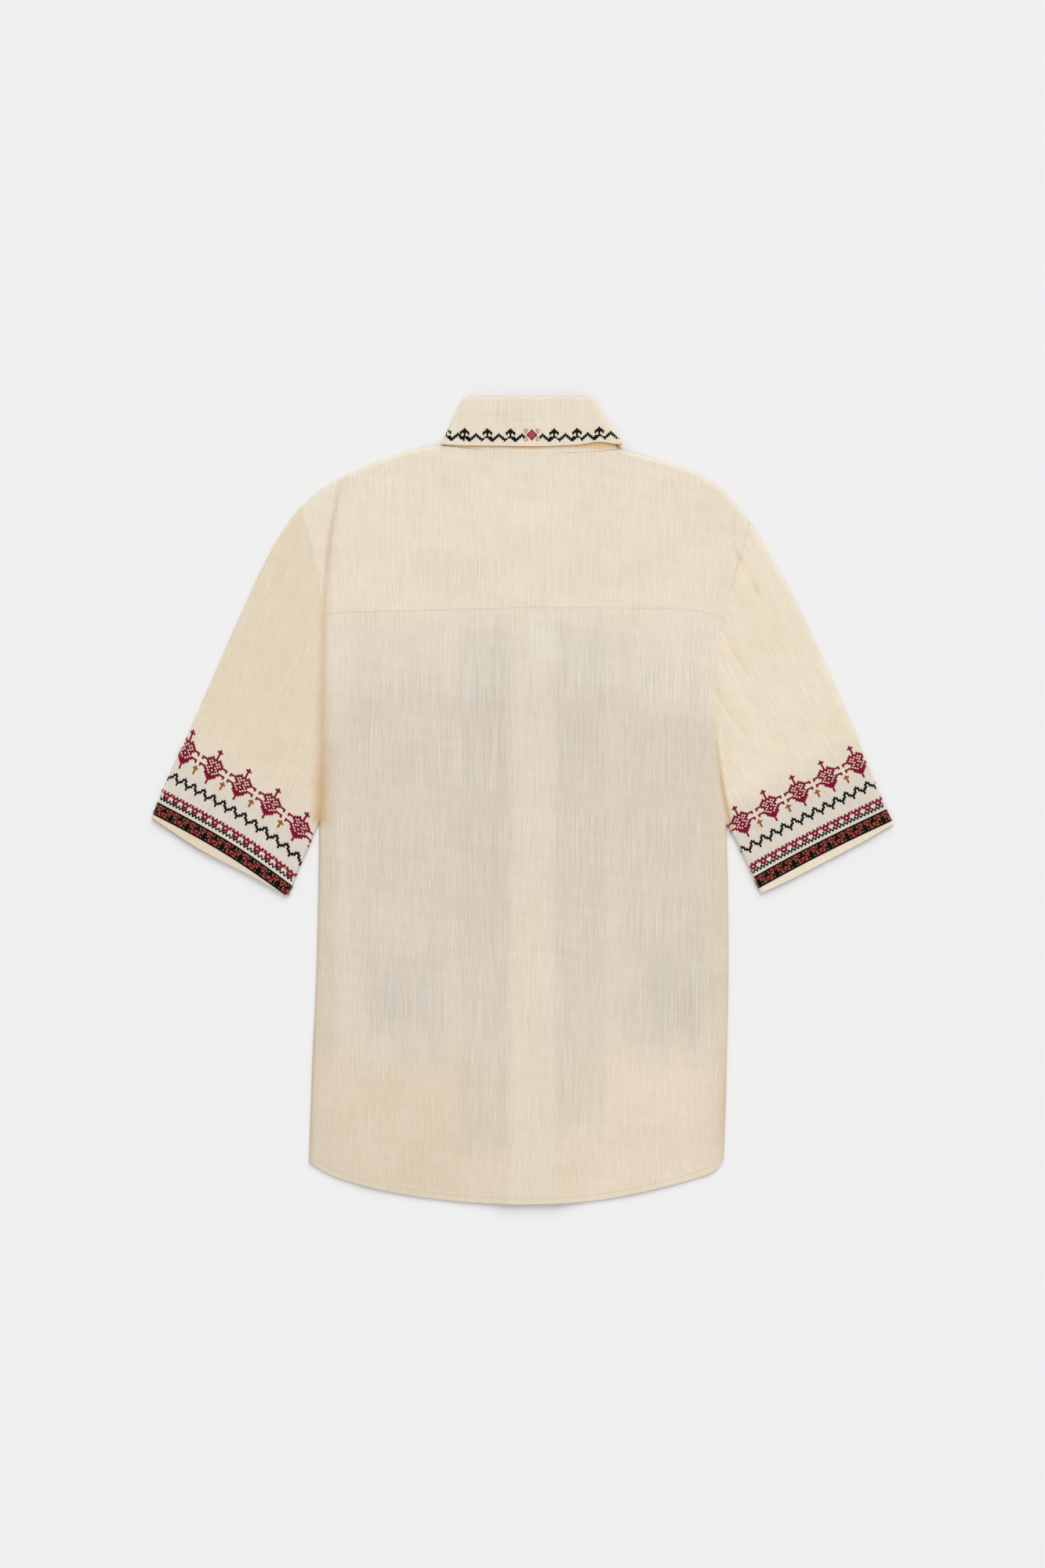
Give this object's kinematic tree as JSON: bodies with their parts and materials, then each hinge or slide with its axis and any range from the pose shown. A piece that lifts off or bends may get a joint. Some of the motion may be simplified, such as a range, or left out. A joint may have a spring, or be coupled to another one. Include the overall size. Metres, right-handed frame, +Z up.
{
  "type": "embroidered button-front shirt",
  "caption": "Loose gauze shirt with cross-stitched sleeve bands and collar, laid flat with its back up.",
  "frame": {"origin": "middle of the bounding box, on the surface that the shirt lies on", "axes": "+Y from the hem to the collar, +X to the wearer's right sleeve, +Z up, out of the shirt's back"},
  "size_m": [0.757, 0.822, 0.0104],
  "materials": {
    "cloth": "slubby plain-weave cotton gauze, cream",
    "button": "satin, horn-coloured"
  },
  "bodies": {
    "root": {"back": "cloth", "yoke": "cloth", "front_left": "cloth", "front_right": "cloth", "button_band": "cloth", "sleeve_left": "cloth", "sleeve_right": "cloth", "collar_stand": "cloth", "collar_leaf": "cloth", "button_stand": "button", "button_1": "button", "button_2": "button", "button_3": "button", "button_4": "button", "button_5": "button", "button_6": "button"}
  },
  "joints": []
}
